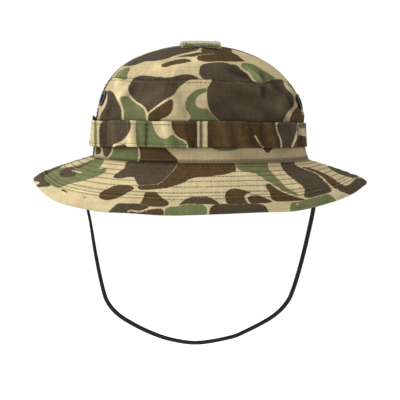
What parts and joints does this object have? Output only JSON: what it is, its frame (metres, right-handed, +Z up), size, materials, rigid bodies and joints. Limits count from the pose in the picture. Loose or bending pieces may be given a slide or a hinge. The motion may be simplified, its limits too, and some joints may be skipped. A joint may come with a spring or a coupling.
{
  "type": "boonie hat",
  "caption": "Soft sun hat with an oval domed crown, short drooping quilted brim, foliage band, screened side vents, loop-pile patch on top and a chin cord loop.",
  "frame": {"origin": "centre of the head opening, in the plane where the crown meets the brim", "axes": "+Z up out of the crown, -Y is the front of the hat, +X is the wearer's left"},
  "size_m": [0.2854, 0.2876, 0.2605],
  "materials": {
    "camouflage_cloth": "printed cotton-blend twill, matte: sand ground with dark brown, reddish brown and olive blobs",
    "interlining": "undyed stiff nonwoven",
    "sweatband_cloth": "plain cotton twill, matte",
    "loop_pile": "brushed nylon loop pile, matte, olive grey",
    "vent_metal": "blackened brass, satin",
    "vent_mesh": "blackened woven wire",
    "tab_tape": "narrow cotton tape, matte",
    "cord_braid": "flat braided nylon cord, dull olive"
  },
  "bodies": {
    "hat": {"crown_tip": "camouflage_cloth", "crown_front_panel": "camouflage_cloth", "crown_rear_panel": "camouflage_cloth", "foliage_band": "camouflage_cloth", "brim_upper_ply": "camouflage_cloth", "brim_lower_ply": "camouflage_cloth", "brim_interlining": "interlining", "brim_binding": "camouflage_cloth", "sweatband": "sweatband_cloth", "loop_patch": "loop_pile", "vent_eyelet_front_left": "vent_metal", "vent_washer_front_left": "vent_metal", "vent_screen_front_left": "vent_mesh", "vent_eyelet_front_right": "vent_metal", "vent_washer_front_right": "vent_metal", "vent_screen_front_right": "vent_mesh", "vent_eyelet_rear_left": "vent_metal", "vent_washer_rear_left": "vent_metal", "vent_screen_rear_left": "vent_mesh", "vent_eyelet_rear_right": "vent_metal", "vent_washer_rear_right": "vent_metal", "vent_screen_rear_right": "vent_mesh", "cord_tab_left": "tab_tape", "cord_tab_right": "tab_tape"},
    "chin_cord": {"chin_cord": "cord_braid"}
  },
  "joints": [
    {"name": "chin_cord_swing", "type": "hinge", "parent": "hat", "child": "chin_cord", "pos_m": [0, 0, -0.0044], "axis": [1, 0, 0], "range_deg": [-60, 60]}
  ]
}
